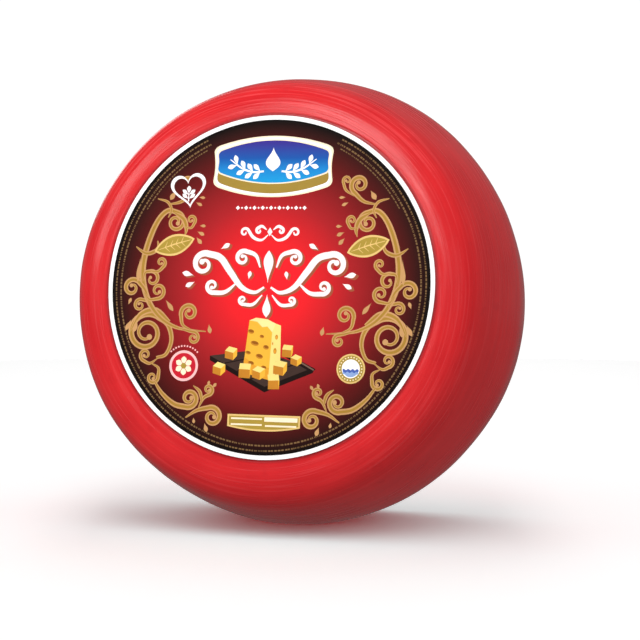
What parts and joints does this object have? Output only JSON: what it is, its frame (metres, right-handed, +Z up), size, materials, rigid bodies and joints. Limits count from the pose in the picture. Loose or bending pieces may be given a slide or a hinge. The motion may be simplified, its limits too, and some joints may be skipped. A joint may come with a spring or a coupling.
{
  "type": "cheese wheel",
  "caption": "Whole wheel of semi-hard cheese in a red coat, standing on its rounded rim and leaning back a little, with a round printed label on its front face.",
  "frame": {"origin": "on the small flat spot of the rim that the wheel stands on, straight below the middle of the wheel", "axes": "+Z up, +Y from the label through the wheel to its back, across its thickness, +X to the right as the label is read"},
  "size_m": [0.23, 0.1366, 0.227],
  "materials": {
    "red_coat": "satin",
    "printed_paper": "satin"
  },
  "bodies": {
    "root": {"cheese_wheel": "red_coat", "label": "printed_paper"}
  },
  "joints": []
}
